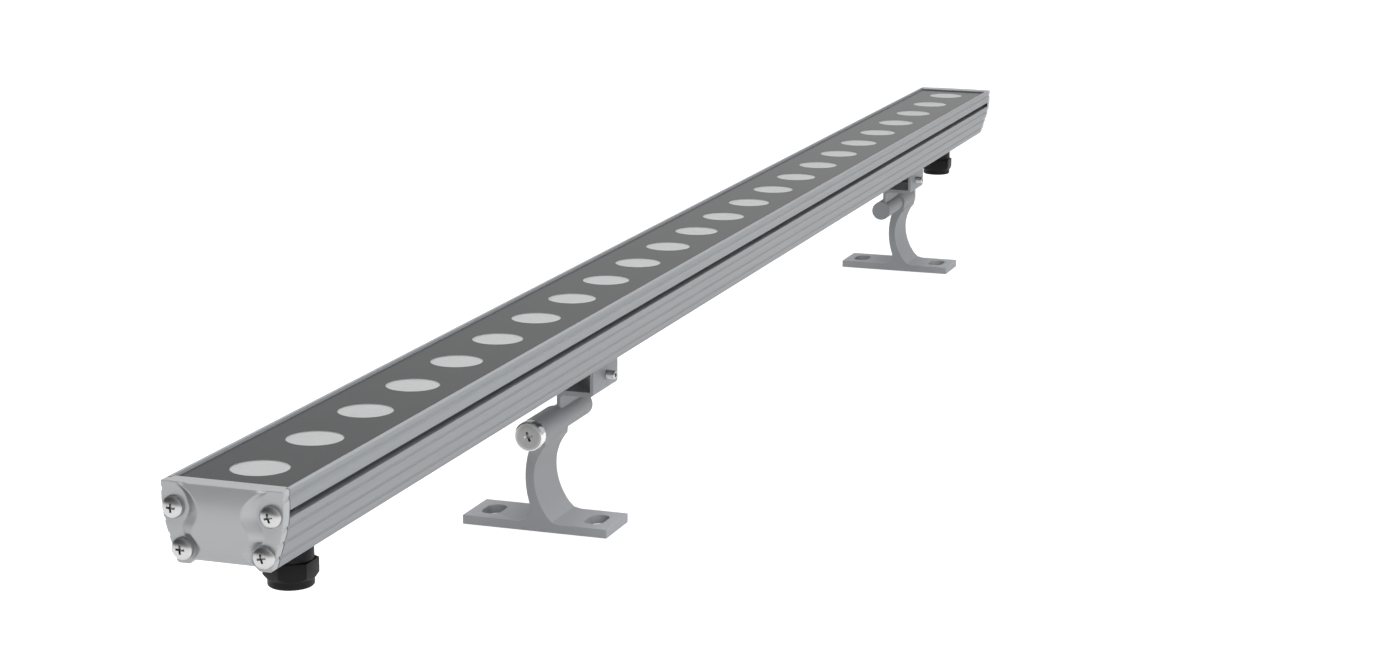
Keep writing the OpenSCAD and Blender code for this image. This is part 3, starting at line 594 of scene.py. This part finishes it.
UPPER_SCREW, LOWER_SCREW = (17.9, 19.4), LOWER_EAR[:2]
screw_places = [(side * way, rise) for side, rise in (UPPER_SCREW, LOWER_SCREW) for way in (1, -1)]
for end, way in ENDS.items():
    copies = []
    for side, rise in screw_places:
        copy = twin_of(cap_screw, "screw_copy", (0, 0, 0))
        # Each recess has stopped at its own angle
        rotate(copy, x=0.5 * side - 6)
        if end == "far":
            rotate(copy, z=180)
        copy.location = (way * ear_face, lamp_y + side * MM, lamp_low + rise * MM)
        settle(copy)
        copies.append(copy)
    node = "cap_screws_" + end
    stand_for(join(copies, node + "_finished"), node)
bpy.data.objects.remove(cap_screw)

# Pivot screws: a flat round head with a small recess, on a long shank

# From the end of the clamp to the underside of the screw's head, in millimetres
HEAD_OUT = 26.6
PIVOT_RADIUS, PIVOT_TOP = 6.55, 4.2
rounded_head = [(0, PIVOT_TOP), (5.9, PIVOT_TOP), (6.25, 4.1), (6.45, 3.9), (PIVOT_RADIUS, 3.6),
                (PIVOT_RADIUS, 0.25), (6.35, 0)]
pivot_screw = turned("pivot_screw", rounded_head + shank(2.5, 54.6), steps=64)
cut(pivot_screw, cross_tool(size=5.2, width=1.25, top=PIVOT_TOP, depth=2.0, turn=20))
smooth(pivot_screw, 32)
rotate(pivot_screw, y=-90)
pivot_steel = bright_screw("pivot_steel")
for end, way in ENDS.items():
    x, y, z = joints[end + "_foot_tilt"]["pos_m"]
    node = "pivot_screw_" + end
    copy = twin_of(pivot_screw, node + "_finished", (x + way * HEAD_OUT * MM, y, z))
    stand_for(copy, node, pivot_steel)
    rotate(pivot_screw, z=180)
bpy.data.objects.remove(pivot_screw)

# Lock screws: set screws with thread ridges and a hexagon socket

PITCH, FIRST_RIDGE, RIDGE_DEEP, RIDGE_CLEAR = 0.7, 0.6, 0.24, 0.02
SOCKET_RADIUS, SOCKET_DEEP, SOCKET_TOOL_LONG = 1.2, 2.2, 4
lock_len = (lock_high.y - lock_low.y) / MM
lock_r = (lock_high.x - lock_low.x) / 2 / MM
crest = lock_r - RIDGE_CLEAR
ridges = []
for ridge in range(int((lock_len - 2 * FIRST_RIDGE) / PITCH)):
    rise = FIRST_RIDGE + PITCH * ridge
    ridges += [(crest - RIDGE_DEEP, rise), (crest, rise + 0.3), (crest, rise + 0.4)]
lock_screw = turned("lock_screw", [(0, 0), (lock_r - 0.7, 0)] + ridges + [
    (lock_r - 0.1, lock_len - 0.35), (lock_r - 0.4, lock_len), (0, lock_len)], steps=40)
clear_selection()
socket_middle = lock_len - SOCKET_DEEP + SOCKET_TOOL_LONG / 2
bpy.ops.mesh.primitive_cylinder_add(vertices=6, radius=SOCKET_RADIUS * MM, depth=SOCKET_TOOL_LONG * MM,
                                    location=(0, 0, socket_middle * MM))
cut(lock_screw, bpy.context.object)
smooth(lock_screw, 40)
rotate(lock_screw, x=90)
for end in ENDS:
    node = "lock_screw_" + end
    low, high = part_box(node)
    place = ((low.x + high.x) / 2, high.y, (low.z + high.z) / 2)
    stand_for(twin_of(lock_screw, node + "_finished", place), node)
bpy.data.objects.remove(lock_screw)

# Printed face of the glass, with a clear window over each light unit, in millimetres

PRINT_RISE, PRINT_THICK = 0.03, 0.04
WINDOW_RADIUS = 10.3
clear_selection()
bpy.ops.mesh.primitive_cube_add(size=1, location=(0, lamp_y, glass_high.z + PRINT_RISE * MM))
glass_print = bpy.context.object
glass_print.name = "glass_print"
glass_print.scale = (glass_high.x - glass_low.x, glass_high.y - glass_low.y, PRINT_THICK * MM)
settle(glass_print)
windows = []
for place in light_places:
    bpy.ops.mesh.primitive_cylinder_add(vertices=96, radius=WINDOW_RADIUS * MM, depth=2 * MM, location=place)
    windows.append(bpy.context.object)
cut(glass_print, join(windows, "window_tool"))
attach(glass_print, "lamp")
dress(glass_print, "mask", printed_glass("print_on_glass"))

# Etched discs just under the windows

frost = turned("window_frost", [
    (0, -0.2), (6, -0.22), (9.6, -0.26), (10.2, -0.34), (10.2, -0.5), (0, -0.5)], steps=64)
smooth(frost, 40)
discs = [twin_of(frost, "frost_copy", place) for place in light_places]
bpy.data.objects.remove(frost)
window_frost = join(discs, "window_frost")
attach(window_frost, "lamp")
dress(window_frost, "lens", etched("window_etching", (0.246, 0.246, 0.246), (0.222, 0.222, 0.222), 0.55))

# Floor: it looks pale, also in reflections, but lights the lamp from below as a darker one would

FLOOR_SIZE, FLOOR_DROP = 16, 0.2 * MM
FLOOR_SEEN, FLOOR_LIT = (0.80, 0.80, 0.80), (0.27, 0.27, 0.27, 1)
clear_selection()
bpy.ops.mesh.primitive_plane_add(size=FLOOR_SIZE, location=(0, 0, -FLOOR_DROP))
floor = bpy.context.object
floor.name = "floor"
floor_finish = Finish("studio_floor", Roughness=0.8)
seen = floor_finish.node("ShaderNodeLightPath", output="Is Camera Ray")
mirrored = floor_finish.node("ShaderNodeLightPath", output="Is Glossy Ray")
through = floor_finish.node("ShaderNodeLightPath", output="Is Transmission Ray")
floor_finish.set({"Base Color": FLOOR_LIT, "Emission Strength": 1.0,
                  "Emission Color": floor_finish.blend(seen + mirrored + through, (0, 0, 0), FLOOR_SEEN)})
floor.data.materials.append(floor_finish.material)

# Studio walls: a white light all round, which grows from one side to the other

WALL_SLOPE, WALL_LEVEL = (0.20, -0.27, -0.05), 0.40
world = bpy.data.worlds.new("studio")
bpy.context.scene.world = world
world.use_nodes = True
tree = world.node_tree
back = tree.nodes["Background"]
back.inputs["Color"].default_value = (1, 1, 1, 1)
coords = tree.nodes.new("ShaderNodeTexCoord")
slope = tree.nodes.new("ShaderNodeVectorMath")
slope.operation = "DOT_PRODUCT"
slope.inputs[1].default_value = WALL_SLOPE
tree.links.new(coords.outputs["Generated"], slope.inputs[0])
level = tree.nodes.new("ShaderNodeMath")
level.operation = "ADD"
level.inputs[1].default_value = WALL_LEVEL
tree.links.new(slope.outputs["Value"], level.inputs[0])
tree.links.new(level.outputs[0], back.inputs["Strength"])


# Studio lamps

def softbox(name, place, aim, size, power):
    """A large lamp, aimed at a point, that leaves no glints."""
    data = bpy.data.lights.new(name, "AREA")
    data.shape = "RECTANGLE"
    data.size, data.size_y = size
    data.energy = power
    lamp = bpy.data.objects.new(name, data)
    bpy.context.scene.collection.objects.link(lamp)
    lamp.location = place
    lamp.visible_glossy = False
    lamp.rotation_euler = (Vector(aim) - Vector(place)).to_track_quat("-Z", "Y").to_euler()


softbox("key", place=(-0.4, -0.3, 2.1), aim=(0, 0, 0.08), size=(2.4, 2.4), power=104)
softbox("side_fill", place=(-2.3, -1.6, 0.3), aim=(-0.2, 0, 0.08), size=(1.4, 1.0), power=41)
softbox("back_fill", place=(2.2, 1.9, 0.6), aim=(0.1, 0, 0.08), size=(1.4, 1.2), power=36)

# Camera: its place in metres, its angles in degrees and its focal length in pixels of the photo

CAMERA_PLACE = (-1.30141, -0.44738, 0.35673)
CAMERA_DOWN, CAMERA_LEFT, CAMERA_ROLL = 12.88586, 18.81694, 0.24446
FOCAL_LENGTH, IMAGE_WIDTH = 2852.56, 1400
optics = bpy.data.cameras.new("camera")
optics.sensor_width = 36
optics.lens = FOCAL_LENGTH / IMAGE_WIDTH * optics.sensor_width
optics.clip_end = 20
camera = bpy.data.objects.new("camera", optics)
bpy.context.scene.collection.objects.link(camera)
camera.location = CAMERA_PLACE
camera.rotation_mode = "QUATERNION"
aimed = Euler((math.radians(90 - CAMERA_DOWN), 0, math.radians(CAMERA_LEFT - 90))).to_quaternion()
rolled = Quaternion((0, 0, 1), math.radians(CAMERA_ROLL))
camera.rotation_quaternion = aimed @ rolled
bpy.context.scene.camera = camera
bpy.context.scene.view_settings.view_transform = "Standard"

clear_selection()
